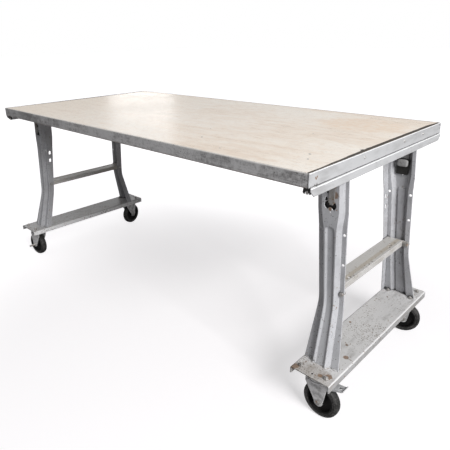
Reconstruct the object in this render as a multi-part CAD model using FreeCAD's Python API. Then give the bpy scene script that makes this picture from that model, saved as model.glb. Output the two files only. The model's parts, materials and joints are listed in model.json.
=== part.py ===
import FreeCAD, Part
import math
import os

from FreeCAD import Vector

os.makedirs("parts", exist_ok=True)

# Assembly table on castors. X runs along the table, Y across it, Z up, in millimetres.
# The origin is on the floor under the middle of the table.

# ---- driving dimensions ----
length = 1800.0
depth = 900.0
height = 850.0
slack = 0.5             # gap between neighbours that are only set beside each other
lean_slack = 1.4        # the same against a leg, whose flange leans
bore_slack = 0.4        # radial slack of a bolt in its hole

sheet_thick = 1.5       # laminate on the board
board_thick = 35.0
top_lip = 0.5           # the bands stand this much above the laminate
end_gap = 5.0           # open joint between the laminate and the end bands
side_gap = 1.5          # the same along the front and the back

band_thick = 3.0
band_height = 40.0
band_shelf = 30.0       # lower flange of the band angle, under the board
rail_height = 25.0
rail_thick = 3.0
rail_proud = 5.0        # how far the rail stands out beyond the end band
rail_shelf = 78.0       # flat flange of the rail, above the leg heads
rail_half_length = 446.0
rail_shelf_half = 412.0  # the flat flange stops short of the corner bolts
rail_cut = 16.0         # lower corners of the upright face, cut off at this much

leg_gauge = 3.0
leg_rise = 16.0         # how far the middle of the leg stands out from its wings
wall_run = 10.0         # sideways run of the sloping wall between wing and middle
head_centre = 847.0     # distance of the leg's middle line from the table's centre
knee_centre = 878.0
base_centre = 887.0
head_wing = 241.0       # distance of the wings' outer face from the table's centre
knee_wing = 246.0
base_wing = 295.0
head_half = 50.5        # half the overall width of the leg
neck_half = 47.0
knee_half = 43.0
base_half = 61.0
head_face_half = 29.0   # half the width of the raised face
neck_face_half = 21.5
knee_face_half = 17.5
base_face_half = 22.5
flange_head = 40.0      # depth of the inner flange
flange_low = 28.0
knee_z = 372.0
knee_blend = 22.0
head_low_z = 682.0
neck_z = 626.0
groove_top_z = 634.0
groove_lip_neck = 5.5
groove_lip_base = 3.2
groove_deep = 4.5
groove_slope = 6.0
eye_z = 700.0           # big oval hole of the head
eye_half_width = 19.5
eye_radius = 14.0
eye_tab_radius = 9.0    # round tab left standing at the bottom of the oval hole
pilot_radius = 5.5
pilot_side = 15.5
pilot_up = 18.0
relief_radius = 8.0     # hole above the oval one, half behind the strap
relief_side = 8.0
relief_up = 44.0
dot_radius = 2.0
dot_down = 21.0
hole_pitch = 97.0       # holes down the wings, counted up from the crossbar's bolt
hole_count = 3
hole_radius = 4.5
slot_z = 596.0
slot_pitch = 42.0
slot_length = 20.0
slot_width = 12.0

bracket_thick = 4.0
bracket_width = 30.0
bracket_reach = 40.0
bracket_low_z = 722.0
strap_width = 19.0
strap_thick = 3.0
strap_low_z = 709.0
strap_side = 8.0        # the strap and its bracket stand this far out from the leg's middle
hook_deep = 5.0
hook_high = 6.0

bar_top_z = 429.0
bar_height = 22.0
bar_gauge = 3.0
bar_hole_radius = 5.0
bar_hole_inset = 70.0

foot_width = 140.0
foot_half_length = 374.0
foot_top_z = 176.0
foot_gauge = 4.0
foot_height = 25.0
foot_bend = 6.0
end_hole_inset = 16.0
foot_centre = 893.0
left_frame_y = -60.0    # how far each leg frame is bolted from the middle of the top
right_frame_y = 5.0

castor_y = 316.0
plate_x = 114.0
plate_y = 92.0
plate_thick = 5.0
bolt_x = 90.0
bolt_y = 68.0
trail = 18.0
wheel_radius = 62.5
tyre_width = 32.0
tyre_inner = 46.0
tyre_round = 7.0
rim_width = 28.0
rim_thick = 4.0
web_thick = 7.0
boss_radius = 15.0
boss_width = 38.0
sleeve_radius = 8.0
sleeve_bore = 5.1
axle_radius = 5.0
axle_spare = 3.0        # thread beyond the axle's nut
long_axle_spare = 26.0  # the same on the castor that got a longer bolt
turn_gap = 0.08         # radial clearance of what turns
fork_gauge = 3.5
fork_gap = 40.0
fork_crown_z = 139.5
fork_top_half = 37.0
fork_low_radius = 15.0
crown_radius = 29.0
crown_rise = 12.0
ring_high = 3.0
race_radius = 35.0
pin_radius = 6.0
pin_head_radius = 11.0
pin_head_high = 6.0

pedal_width = 30.0
pedal_tip = 97.0        # outer end of the pedal, out from the swivel axis
pedal_gauge = 2.5
pedal_pin_radius = 3.0
pedal_pin_out = 50.0     # pivot of the brake pedal, out from the swivel axis
pedal_pin_z = 131.0
pedal_travel = 25.0      # degrees from off to on
shoe_gap = 0.4           # between the shoe and the tyre when the brake is on

m8_radius = 4.0
m8_head = 7.5            # half the width across the corners of an M8 head
m8_high = 5.3
nut_high = 6.5
washer_radius = 8.0
washer_thick = 1.6
screw_radius = 2.0
screw_head_radius = 4.2
screw_head_high = 2.4
screw_length = 22.0

# ---- heights and places that follow ----
band_low_z = height - band_height
shelf_top_z = band_low_z + band_thick
board_top_z = height - top_lip - sheet_thick
board_low_z = board_top_z - board_thick
rail_top_z = band_low_z
rail_low_z = rail_top_z - rail_height
rail_face_x = length / 2 + rail_proud
leg_top_z = rail_top_z - rail_thick
bar_bolt_z = bar_top_z - bar_height / 2
plate_top_z = foot_top_z - foot_gauge
plate_low_z = plate_top_z - plate_thick
crown_top_z = fork_crown_z + crown_rise
axle_z = wheel_radius


def box(x0, x1, y0, y1, z0, z1):
    """Block between two corners, given in any order."""
    low = Vector(min(x0, x1), min(y0, y1), min(z0, z1))
    return Part.makeBox(abs(x1 - x0), abs(y1 - y0), abs(z1 - z0), low)


def rod(radius, start, end):
    """Round bar from one point to another."""
    line = end - start
    return Part.makeCylinder(radius, line.Length, start, line)


def hexagon(radius, start, end):
    """Hexagonal bar, with its radius to the corners."""
    line = end - start
    points = [Vector(radius * math.cos(k * math.pi / 3), radius * math.sin(k * math.pi / 3), 0)
              for k in range(7)]
    bar = Part.Face(Part.makePolygon(points)).extrude(Vector(0, 0, line.Length))
    bar.Placement = FreeCAD.Placement(start, FreeCAD.Rotation(Vector(0, 0, 1), line))
    return bar


def prism(points, push):
    """Closed outline pushed along a vector."""
    return Part.Face(Part.makePolygon(points + points[:1])).extrude(push)


def turned(outline, centre, axis):
    """Outline of (radius, height) pairs turned about an axis through the centre."""
    points = [Vector(r, 0, h) for r, h in outline]
    solid = Part.Face(Part.makePolygon(points + points[:1])).revolve(Vector(), Vector(0, 0, 1), 360)
    solid.Placement = FreeCAD.Placement(centre, FreeCAD.Rotation(Vector(0, 0, 1), axis))
    return solid


def mirrored(shape, side_x, side_y):
    """Copy for another corner of the table: a side is 1 or -1."""
    result = shape.copy()
    if side_x < 0:
        result = result.mirror(Vector(), Vector(1, 0, 0))
    if side_y < 0:
        result = result.mirror(Vector(), Vector(0, 1, 0))
    return result


def frame_y(side_x):
    """Where the leg frame of an end stands across the table."""
    return right_frame_y if side_x > 0 else left_frame_y


def on_frame(shape, side_x, side_y):
    """Copy for another corner, set where that end's leg frame stands."""
    result = mirrored(shape, side_x, side_y)
    result.translate(Vector(0, frame_y(side_x), 0))
    return result


def save(name, shapes):
    """Write one node. A list becomes one group of separate solids."""
    shape = Part.makeCompound(shapes) if isinstance(shapes, list) else shapes
    shape.exportStep("parts/" + name + ".step")


SIDES = {"left": -1, "right": 1}
CORNERS = {"front_left": (-1, -1), "back_left": (-1, 1), "front_right": (1, -1), "back_right": (1, 1)}
# how each castor happens to stand, in degrees: 0 trails towards +X
TURNS = {"front_left": 187.0, "back_left": 100.0, "front_right": 0.0, "back_right": 16.0}


# ---- leg, drawn for the corner at +X, +Y ----
def blend(z, keys):
    """Value at a height from (height, value) keys, straight between them."""
    for (z0, v0), (z1, v1) in zip(keys, keys[1:]):
        if z0 <= z <= z1:
            return v0 + (v1 - v0) * (z - z0) / (z1 - z0)
    return keys[0][1] if z < keys[0][0] else keys[-1][1]


def rounded_knee(z, keys):
    """The same, with the corner at the knee rounded over knee_blend each way."""
    away = abs(z - knee_z)
    if away >= knee_blend:
        return blend(z, keys)
    low = blend(knee_z - knee_blend, keys)
    high = blend(knee_z + knee_blend, keys)
    share = (z - knee_z + knee_blend) / (2 * knee_blend)
    middle = blend(knee_z, keys)
    return (1 - share) ** 2 * low + 2 * share * (1 - share) * middle + share ** 2 * high


def leg_centre(z):
    return rounded_knee(z, [(foot_top_z, base_centre), (knee_z, knee_centre), (leg_top_z, head_centre)])


def wing_plane(z):
    return rounded_knee(z, [(foot_top_z, base_wing), (knee_z, knee_wing),
                            (head_low_z, head_wing), (leg_top_z, head_wing)])


def half_width(z):
    return rounded_knee(z, [(foot_top_z, base_half), (knee_z, knee_half), (neck_z, neck_half),
                            (head_low_z, head_half), (leg_top_z, head_half)])


def face_half(z):
    return rounded_knee(z, [(foot_top_z, base_face_half), (knee_z, knee_face_half),
                            (neck_z, neck_face_half), (head_low_z, head_face_half),
                            (leg_top_z, head_face_half)])


def flange_depth(z):
    return blend(z, [(knee_z, flange_low), (head_low_z, flange_head)])


def groove(z):
    """Half width and depth of the central groove, whose top end is round."""
    lip = blend(z, [(foot_top_z, groove_lip_base), (knee_z, groove_lip_base),
                    (neck_z, groove_lip_neck)])
    full = face_half(z) - lip
    reach = full
    down = groove_top_z - z
    if down <= 0:
        return full * 0.3, 0.0
    share = min(1.0, down / reach)
    return full * math.sqrt(1 - (1 - share) ** 2) * 0.7 + full * 0.3, groove_deep * min(1.0, 2 * share)


def leg_outline(z):
    """Outer skin of the pressing at one height: (out, in) pairs.
    Out runs to the end of the table, in runs to its middle line."""
    half = half_width(z)
    face = face_half(z)
    trough, deep = groove(z)
    floor_half = trough - groove_slope
    if floor_half < 1.0:
        floor_half = trough * 0.5
    return [(-half, flange_depth(z)), (-half, 0), (-face - wall_run, 0), (-face, -leg_rise),
            (-trough, -leg_rise), (-floor_half, -leg_rise + deep),
            (floor_half, -leg_rise + deep), (trough, -leg_rise),
            (face, -leg_rise), (face + wall_run, 0), (half, 0)]


def thickened(points, gauge):
    """Closed outline of a sheet: the points and their offset copy, mitred at the bends."""
    normals = []
    for (a0, b0), (a1, b1) in zip(points, points[1:]):
        run = math.hypot(a1 - a0, b1 - b0)
        normals.append((-(b1 - b0) / run, (a1 - a0) / run))
    inner = []
    for k, (a, b) in enumerate(points):
        first = normals[max(k - 1, 0)]
        second = normals[min(k, len(normals) - 1)]
        scale = gauge / (1 + first[0] * second[0] + first[1] * second[1])
        inner.append((a + scale * (first[0] + second[0]), b + scale * (first[1] + second[1])))
    return points + inner[::-1]


def leg_station(z):
    """Wire of the sheet at one height."""
    centre = leg_centre(z)
    wing = wing_plane(z)
    points = [Vector(centre + a, wing - b, z) for a, b in thickened(leg_outline(z), leg_gauge)]
    return Part.makePolygon(points + points[:1])


def make_leg():
    groove_steps = [groove_top_z - d for d in (0.0, 3.0, 9.0, face_half(neck_z))]
    knee_steps = [knee_z + k * knee_blend for k in (1.0, 0.33, -0.33, -1.0)]
    heights = [leg_top_z, head_low_z] + groove_steps + knee_steps + [foot_top_z]
    leg = Part.makeLoft([leg_station(z) for z in heights], True, True)
    if leg.Volume < 0:
        leg.reverse()
    across = Vector(0, 1, 0)
    far = wing_plane(foot_top_z) + leg_rise + 1
    bore_length = far - wing_plane(knee_z) + leg_gauge + leg_rise

    def bore(radius, out, z):
        start = Vector(leg_centre(z) + out, far - bore_length, z)
        return Part.makeCylinder(radius, bore_length, start, across)

    straight = eye_half_width - eye_radius
    middle = leg_centre(eye_z)
    slab = box(middle - straight, middle + straight, far - bore_length, far, eye_z - eye_radius, eye_z + eye_radius)
    eye = slab.fuse([bore(eye_radius, side * straight, eye_z) for side in (-1, 1)])
    tab = Part.makeCylinder(eye_tab_radius, bore_length,
                            Vector(middle, far - bore_length, eye_z - eye_radius - 2.0), across)
    cuts = [eye.cut(tab), bore(dot_radius, 0, eye_z - dot_down),
            bore(pilot_radius, -pilot_side, eye_z + pilot_up),
            bore(relief_radius, -relief_side, eye_z + relief_up)]
    for k in range(hole_count):
        z = bar_bolt_z + k * hole_pitch
        cuts.append(bore(hole_radius, wing_hole_out(z), z))
    cuts.append(bore(hole_radius, -wing_hole_out(z), z))
    cuts.append(bracket_bolt_hole(hole_radius))
    for k in range(2):
        cuts.append(flange_slot(slot_z - k * slot_pitch))
    cuts.append(flange_bolt_hole(hole_radius))
    return leg.cut(cuts)


def wing_hole_out(z):
    """Distance of the wing's holes from the leg's middle line."""
    return (half_width(z) + face_half(z) + wall_run) / 2


def flange_middle(z):
    """Middle of the inner flange, across the table."""
    return wing_plane(z) - (flange_depth(z) + leg_gauge) / 2


def flange_slot(z):
    """Upright slot through the inner flange."""
    inner_x = leg_centre(z) - half_width(z)
    y = flange_middle(z)
    half = slot_length / 2 - slot_width / 2
    low = Vector(inner_x - leg_gauge, y, z - half)
    high = Vector(inner_x - leg_gauge, y, z + half)
    push = Vector(3 * leg_gauge, 0, 0)
    slot = box(low.x, low.x + push.x, y - slot_width / 2, y + slot_width / 2, low.z, high.z)
    ends = [Part.makeCylinder(slot_width / 2, push.x, point, push) for point in (low, high)]
    return slot.fuse(ends)


def flange_bolt_hole(radius):
    """Hole through the inner flange and the crossbar's side, along X."""
    inner_x = leg_centre(bar_bolt_z) - half_width(bar_bolt_z)
    start = Vector(inner_x - 10, flange_middle(bar_bolt_z), bar_bolt_z)
    return Part.makeCylinder(radius, 30, start, Vector(1, 0, 0))


# ---- head bracket and strap, for the corner at +X, +Y ----
face_inner_y = head_wing + leg_rise - leg_gauge
face_outer_y = head_wing + leg_rise


strap_bolt_z = leg_top_z - 42.0
strap_x = leg_centre(strap_bolt_z) + strap_side
tongue_z = bracket_low_z + bracket_width / 2
top_bolt_y = face_inner_y - bracket_reach + 16.0


def make_bracket():
    """Angle inside the leg's head: an upright tongue with a round end, and a flat top flange."""
    half = bracket_width / 2
    back_y = face_inner_y - bracket_thick
    tongue = box(strap_x - half, strap_x + half, back_y, face_inner_y, tongue_z, leg_top_z)
    tip = Part.makeCylinder(half, bracket_thick, Vector(strap_x, back_y, tongue_z), Vector(0, 1, 0))
    flange = box(strap_x - half, strap_x + half, face_inner_y - bracket_reach, face_inner_y,
                 leg_top_z - bracket_thick, leg_top_z)
    bracket = tongue.fuse([tip, flange]).removeSplitter()
    holes = [bracket_bolt_hole(hole_radius), top_bolt_hole(hole_radius)]
    return bracket.cut(holes)


def bracket_bolt_hole(radius):
    """Through the strap, the leg's face and the bracket, along Y."""
    start = Vector(strap_x, face_inner_y - 30, strap_bolt_z)
    return Part.makeCylinder(radius, 60, start, Vector(0, 1, 0))


def top_bolt_hole(radius):
    """Through the bracket's flange, the rail's flange and the band's shelf, along Z."""
    start = Vector(strap_x, top_bolt_y, leg_top_z - 20)
    return Part.makeCylinder(radius, 70, start, Vector(0, 0, 1))


def make_strap():
    """Flat strap on the outside of the head, hooked into the top of the oval hole."""
    half = strap_width / 2
    outer_y = face_outer_y + strap_thick
    plate = box(strap_x - half, strap_x + half, face_outer_y, outer_y, strap_low_z, leg_top_z - 1)
    hook = box(strap_x - half + 4, strap_x + half - 4, outer_y - hook_deep, outer_y,
               strap_low_z - hook_high, strap_low_z)
    return plate.fuse(hook).cut(bracket_bolt_hole(hole_radius))


def bolt_set(start, end, head_out):
    """Bolt with a hexagon head beyond its start and a nut beyond its end."""
    along = (end - start)
    along.normalize()
    bolt = rod(m8_radius, start, end + along * (nut_high + 3.0))
    bolt = bolt.fuse(hexagon(m8_head, start - along * head_out, start))
    nut = hexagon(m8_head, end, end + along * nut_high).cut(
        rod(m8_radius, end - along, end + along * (nut_high + 1)))
    return [bolt, nut]


# ---- crossbar ----
def bar_inner_x():
    return leg_centre(bar_bolt_z) - half_width(bar_bolt_z) + leg_gauge + lean_slack


def bar_outer_x():
    return leg_centre(bar_bolt_z) + face_half(bar_bolt_z) + 2.0


def make_crossbar():
    """Channel with its web on top, an ear bent out at each end of its outer side."""
    end_y = wing_plane(bar_bolt_z) - leg_gauge - slack
    x0 = bar_inner_x()
    x1 = bar_outer_x()
    low = bar_top_z - bar_height
    bar = box(x0, x1, -end_y, end_y, low, bar_top_z)
    bar = bar.cut(box(x0 + bar_gauge, x1 - bar_gauge, -end_y, end_y, low, bar_top_z - bar_gauge))
    ear_x = leg_centre(bar_bolt_z) + half_width(bar_bolt_z) - 2.0
    for side in (-1, 1):
        ear = box(x1 - bar_gauge, ear_x, side * end_y, side * (end_y - bar_gauge), low, bar_top_z)
        bar = bar.fuse(ear)
    bar = bar.removeSplitter()
    cuts = []
    bolt_x_place = leg_centre(bar_bolt_z) + wing_hole_out(bar_bolt_z)
    start = Vector(bolt_x_place, -end_y - 1, bar_bolt_z)
    cuts.append(Part.makeCylinder(hole_radius, 2 * end_y + 2, start, Vector(0, 1, 0)))
    for side in (-1, 1):
        hole = flange_bolt_hole(hole_radius)
        cuts.append(mirrored(hole, 1, side))
        for k in (0, 1):
            y = side * (end_y - bar_hole_inset - k * 22.0)
            x = x1 - 18.0 + k * 5.0
            cuts.append(rod(bar_hole_radius, Vector(x, y, low), Vector(x, y, bar_top_z + 1)))
    return bar.cut(cuts)


# ---- foot channel ----
def castor_bolt_places():
    return [(foot_centre + i * bolt_x / 2, castor_y + j * bolt_y / 2) for i in (-1, 1) for j in (-1, 1)]


def make_foot():
    """Wide channel, web on top, its long bends rounded."""
    x0 = foot_centre - foot_width / 2
    x1 = foot_centre + foot_width / 2
    low = foot_top_z - foot_height
    outer = box(x0, x1, -foot_half_length, foot_half_length, low, foot_top_z)
    inner = box(x0 + foot_gauge, x1 - foot_gauge, -foot_half_length, foot_half_length,
                low - foot_gauge, plate_top_z)

    def long_edges(shape, z):
        return [edge for edge in shape.Edges
                if abs(edge.CenterOfMass.z - z) < 0.01 and abs(edge.CenterOfMass.y) < 0.01]

    outer = outer.makeFillet(foot_bend, long_edges(outer, foot_top_z))
    inner = inner.makeFillet(foot_bend - foot_gauge, long_edges(inner, plate_top_z))
    foot = outer.cut(inner)
    cuts = []
    for side in (-1, 1):
        for x, y in castor_bolt_places():
            cuts.append(rod(hole_radius, Vector(x, side * y, low), Vector(x, side * y, foot_top_z + 1)))
        end_hole_y = side * (foot_half_length - end_hole_inset)
        cuts.append(rod(3.5, Vector(foot_centre, end_hole_y, plate_top_z - 1),
                        Vector(foot_centre, end_hole_y, foot_top_z + 1)))
    return foot.cut(cuts)


# ---- castor, drawn with its swivel axis on Z and its trail along +X ----
def make_plate():
    """Mounting plate with the race pressed down from it."""
    plate = box(-plate_x / 2, plate_x / 2, -plate_y / 2, plate_y / 2, plate_low_z, plate_top_z)
    corners = [edge for edge in plate.Edges
               if abs(edge.Vertexes[0].Z - edge.Vertexes[-1].Z) > plate_thick / 2]
    plate = plate.makeFillet(10.0, corners)
    race_low = crown_top_z + ring_high
    race = turned([(pin_radius + 4.0, race_low), (race_radius - 4.0, race_low),
                   (race_radius, race_low + 4.0), (race_radius, plate_low_z), (pin_radius + 4.0, plate_low_z)],
                  Vector(), Vector(0, 0, 1))
    plate = plate.fuse(race).removeSplitter()
    holes = [rod(hole_radius, Vector(i * bolt_x / 2, j * bolt_y / 2, plate_low_z - 1),
                 Vector(i * bolt_x / 2, j * bolt_y / 2, plate_top_z + 1)) for i in (-1, 1) for j in (-1, 1)]
    holes.append(rod(pin_radius, Vector(0, 0, race_low - 1), Vector(0, 0, plate_top_z + 1)))
    return plate.cut(holes)


def make_ring():
    """Ball race ring between the plate's race and the fork's crown."""
    return turned([(crown_radius - 9.0, crown_top_z), (crown_radius - 1.0, crown_top_z),
                   (crown_radius - 1.0, crown_top_z + ring_high), (crown_radius - 9.0, crown_top_z + ring_high)],
                  Vector(), Vector(0, 0, 1))


def make_kingpin():
    """Pin riveted in the plate, its head under the fork's crown."""
    head_top = fork_crown_z - fork_gauge
    pin = rod(pin_radius, Vector(0, 0, head_top), Vector(0, 0, plate_top_z))
    head = turned([(0, head_top - pin_head_high), (pin_head_radius - 3.0, head_top - pin_head_high),
                   (pin_head_radius, head_top - 3.0), (pin_head_radius, head_top), (0, head_top)],
                  Vector(), Vector(0, 0, 1))
    return pin.fuse(head).removeSplitter()


def fork_side_profile():
    """Side view of a fork cheek: wide under the crown, drawn in to a round end at the axle."""
    back = -fork_top_half + 4.0
    front = fork_top_half + 6.0
    knee = fork_crown_z - 16.0
    low = axle_z
    points = [Vector(back, 0, fork_crown_z), Vector(front, 0, fork_crown_z), Vector(front, 0, knee),
              Vector(trail + fork_low_radius, 0, low)]
    tip = Vector(trail, 0, low - fork_low_radius)
    left = Vector(trail - fork_low_radius, 0, low)
    lines = [Part.LineSegment(a, b).toShape() for a, b in zip(points, points[1:])]
    arc = Part.Arc(points[-1], tip, left).toShape()
    shoulder = Vector(back, 0, knee)
    lines += [arc, Part.LineSegment(left, shoulder).toShape(), Part.LineSegment(shoulder, points[0]).toShape()]
    return Part.Face(Part.Wire(lines))


def make_fork():
    """Stamped fork: a bent sheet cut to the side profile, with a raised round crown."""
    half = fork_gap / 2 + fork_gauge
    span = 2 * (fork_top_half + trail)
    shell = box(-span, span, -half, half, 0, fork_crown_z)
    edges = [edge for edge in shell.Edges
             if abs(edge.CenterOfMass.z - fork_crown_z) < 0.01 and abs(edge.CenterOfMass.x) < 0.01]
    shell = shell.makeFillet(6.0, edges)
    hollow = box(-span, span, -fork_gap / 2, fork_gap / 2, -1, fork_crown_z - fork_gauge)
    edges = [edge for edge in hollow.Edges
             if abs(edge.CenterOfMass.z - fork_crown_z + fork_gauge) < 0.01 and abs(edge.CenterOfMass.x) < 0.01]
    hollow = hollow.makeFillet(2.5, edges)
    side = fork_side_profile()
    side.translate(Vector(0, -half - 1, 0))
    fork = shell.cut(hollow).common(side.extrude(Vector(0, 2 * half + 2, 0)))
    crown = turned([(0, fork_crown_z - fork_gauge), (crown_radius + 6.0, fork_crown_z - fork_gauge),
                    (crown_radius + 6.0, fork_crown_z), (crown_radius + 2.0, fork_crown_z),
                    (crown_radius, fork_crown_z + 4.0), (crown_radius, crown_top_z), (0, crown_top_z)],
                   Vector(), Vector(0, 0, 1))
    fork = fork.fuse(crown)
    cuts = [rod(pin_radius + turn_gap, Vector(0, 0, 0), Vector(0, 0, crown_top_z + 1)),
            rod(axle_radius + turn_gap, Vector(trail, -half - 1, axle_z), Vector(trail, half + 1, axle_z))]
    return fork.cut(cuts)


def make_hub():
    """Wheel centre: rim, web and boss in one turned piece, with lightening holes."""
    rim = rim_width / 2
    web = web_thick / 2
    boss = boss_width / 2
    bore = sleeve_radius + turn_gap
    inner = tyre_inner - rim_thick
    outline = [(bore, -boss), (boss_radius, -boss), (boss_radius + 3.0, -web), (inner - 2.0, -web),
               (inner, -rim), (tyre_inner, -rim), (tyre_inner, rim), (inner, rim), (inner - 2.0, web),
               (boss_radius + 3.0, web), (boss_radius, boss), (bore, boss)]
    return turned(outline, Vector(trail, 0, axle_z), Vector(0, 1, 0))


def make_tyre():
    """Solid rubber tyre with round shoulders and a flat tread."""
    half = tyre_width / 2
    steps = 4
    right = [(wheel_radius - tyre_round * (1 - math.cos(k * math.pi / 2 / steps)),
              half - tyre_round * (1 - math.sin(k * math.pi / 2 / steps))) for k in range(steps + 1)]
    left = [(r, -h) for r, h in reversed(right)]
    outline = [(tyre_inner, rim_width / 2), (tyre_inner + 4.0, half)] + right[::-1] + left[::-1]
    outline += [(tyre_inner + 4.0, -half), (tyre_inner, -rim_width / 2)]
    return turned(outline, Vector(trail, 0, axle_z), Vector(0, 1, 0))


def make_axle(spare):
    """Axle bolt, its nut and the sleeve that the wheel turns on."""
    half = fork_gap / 2 + fork_gauge
    centre = Vector(trail, 0, axle_z)
    head = centre + Vector(0, -half, 0)
    tail = centre + Vector(0, half, 0)
    bolt = rod(axle_radius, head, tail + Vector(0, nut_high + spare, 0))
    bolt = bolt.fuse(hexagon(m8_head + 1.5, head - Vector(0, m8_high, 0), head))
    nut = hexagon(m8_head + 1.5, tail, tail + Vector(0, nut_high, 0)).cut(
        rod(axle_radius, tail, tail + Vector(0, nut_high, 0)))
    sleeve = rod(sleeve_radius, centre - Vector(0, fork_gap / 2, 0), centre + Vector(0, fork_gap / 2, 0))
    sleeve = sleeve.cut(rod(sleeve_bore, head, tail))
    return [bolt, nut, sleeve]


def make_pedal():
    """Brake pedal: a folded lever with a raised lip, and a shoe under its pivot that turns
    onto the tyre when the lever goes down."""
    half = pedal_width / 2
    top = pedal_pin_z + 8.0
    tip_x = pedal_tip
    side = [(pedal_pin_out + 6, pedal_pin_z - 6), (tip_x - 6, top), (tip_x, top + 8),
            (tip_x - pedal_gauge, top + 9), (tip_x - 8, top + 3), (pedal_pin_out + 8, pedal_pin_z + 7),
            (pedal_pin_out - 6, pedal_pin_z + 6), (pedal_pin_out - 6, pedal_pin_z - 6)]
    lever = prism([Vector(x, -half, z) for x, z in side], Vector(0, 2 * half, 0))
    to_wheel = math.atan2(trail - pedal_pin_out, pedal_pin_z - axle_z)
    reach = math.hypot(trail - pedal_pin_out, pedal_pin_z - axle_z) - wheel_radius - shoe_gap
    shoe_half = math.radians(9.0)
    lean = to_wheel + math.radians(pedal_travel)
    nose = [Vector(pedal_pin_out + reach * math.sin(lean + k), -half, pedal_pin_z - reach * math.cos(lean + k))
            for k in (-shoe_half, shoe_half)]
    sides = [Vector(pedal_pin_out + 6, -half, pedal_pin_z), Vector(pedal_pin_out - 6, -half, pedal_pin_z)]
    shoe = prism(nose + sides, Vector(0, 2 * half, 0))
    pin_hole = rod(pedal_pin_radius + turn_gap, Vector(pedal_pin_out, -half - 1, pedal_pin_z),
                   Vector(pedal_pin_out, half + 1, pedal_pin_z))
    slot = box(pedal_pin_out + 24, tip_x - 12, -4.5, 4.5, pedal_pin_z - 10, top + 20)
    return lever.fuse(shoe).removeSplitter().cut([pin_hole, slot])


def make_pedal_pin():
    """Rivet through the fork's cheeks that carries the pedal."""
    half = fork_gap / 2 + fork_gauge
    start = Vector(pedal_pin_out, -half, pedal_pin_z)
    end = Vector(pedal_pin_out, half, pedal_pin_z)
    pin = rod(pedal_pin_radius, start, end)
    return pin.fuse([rod(pedal_pin_radius + 2.0, start - Vector(0, 1.8, 0), start),
                     rod(pedal_pin_radius + 2.0, end, end + Vector(0, 1.8, 0))])


def make_braked_fork(fork):
    """The fork with ears on its cheeks that hold the pedal's pin."""
    ears = []
    for side in (-1, 1):
        y0 = side * fork_gap / 2
        y1 = side * (fork_gap / 2 + fork_gauge)
        ear = box(fork_top_half - 4, pedal_pin_out, y0, y1, pedal_pin_z - 8, fork_crown_z - 4.0)
        end = rod(8.0, Vector(pedal_pin_out, y0, pedal_pin_z), Vector(pedal_pin_out, y1, pedal_pin_z))
        ears.append(ear.fuse(end))
    pin_start = Vector(pedal_pin_out, -fork_gap, pedal_pin_z)
    pin_end = Vector(pedal_pin_out, fork_gap, pedal_pin_z)
    return fork.fuse(ears).cut(rod(pedal_pin_radius + turn_gap, pin_start, pin_end))


def place_plate(shape, corner):
    """The mounting plate, race and kingpin stand square to the table."""
    side_x, side_y = CORNERS[corner]
    placed = shape.copy()
    placed.translate(Vector(side_x * foot_centre, side_y * castor_y + frame_y(side_x), 0))
    return placed


def place_castor(shape, corner):
    """What swivels stands under its corner, turned as that castor happens to stand."""
    turned_shape = shape.copy()
    turned_shape.rotate(Vector(), Vector(0, 0, 1), TURNS[corner])
    return place_plate(turned_shape, corner)


# ---- top ----
def make_board():
    x = length / 2 - band_thick - end_gap
    y = depth / 2 - band_thick - side_gap
    board = box(-x, x, -y, y, board_low_z, board_top_z)
    return board.cut(screw_holes() + corner_pockets() + top_bolt_pockets())


def make_sheet():
    x = length / 2 - band_thick - end_gap
    y = depth / 2 - band_thick - side_gap
    return box(-x, x, -y, y, board_top_z, board_top_z + sheet_thick)


def screw_places():
    """Across the table, where the end bands are screwed to the board."""
    return [share * (depth / 2 - 15.0) for share in (-0.36, 0.28, 0.64)]


screw_z = band_low_z + 24.0


def screw_holes():
    holes = []
    for side in (-1, 1):
        for y in screw_places():
            start = Vector(side * (length / 2 + 1), y, screw_z)
            end = Vector(side * (length / 2 - screw_length - 1), y, screw_z)
            holes.append(rod(screw_radius + 0.05, start, end))
    return holes


def make_screws():
    screws = []
    for side in (-1, 1):
        for y in screw_places():
            start = Vector(side * length / 2, y, screw_z)
            end = Vector(side * (length / 2 - screw_length), y, screw_z)
            out = Vector(side * screw_head_high, 0, 0)
            head = Part.makeCone(screw_head_radius, screw_head_radius - 1.4, screw_head_high, start, out)
            screws.append(rod(screw_radius, start, end).fuse(head))
    return screws


def corner_bolt_places():
    return [(i * (length / 2 - 13.0), j * (depth / 2 - 15.0)) for i in (-1, 1) for j in (-1, 1)]


corner_head_high = 4.0
corner_head_radius = 9.0


def corner_pockets():
    """Pockets in the board's underside for the heads of the corner bolts."""
    return [rod(corner_head_radius + bore_slack, Vector(x, y, board_low_z),
                Vector(x, y, board_low_z + corner_head_high + slack)) for x, y in corner_bolt_places()]


def make_corner_bolts():
    bolts = []
    for x, y in corner_bolt_places():
        shank = rod(m8_radius, Vector(x, y, band_low_z - 20), Vector(x, y, shelf_top_z))
        head = rod(corner_head_radius, Vector(x, y, shelf_top_z), Vector(x, y, shelf_top_z + corner_head_high))
        bolts.append(shank.fuse(head))
    return bolts


def make_wing_nuts():
    """Wing nuts under the corners: a round hub and two wings that point down."""
    nuts = []
    for x, y in corner_bolt_places():
        hub = Part.makeCone(8.0, 6.0, 10.0, Vector(x, y, band_low_z), Vector(0, 0, -1))
        wings = []
        for side in (-1, 1):
            points = [Vector(x + side * 4.5, y - 2, band_low_z - 2), Vector(x + side * 11, y - 2, band_low_z - 5),
                      Vector(x + side * 13, y - 2, band_low_z - 17), Vector(x + side * 8, y - 2, band_low_z - 21),
                      Vector(x + side * 4.5, y - 2, band_low_z - 10)]
            wings.append(prism(points, Vector(0, 4, 0)))
        bore = rod(m8_radius, Vector(x, y, band_low_z - 22), Vector(x, y, band_low_z))
        nuts.append(hub.fuse(wings).cut(bore))
    return nuts


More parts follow.
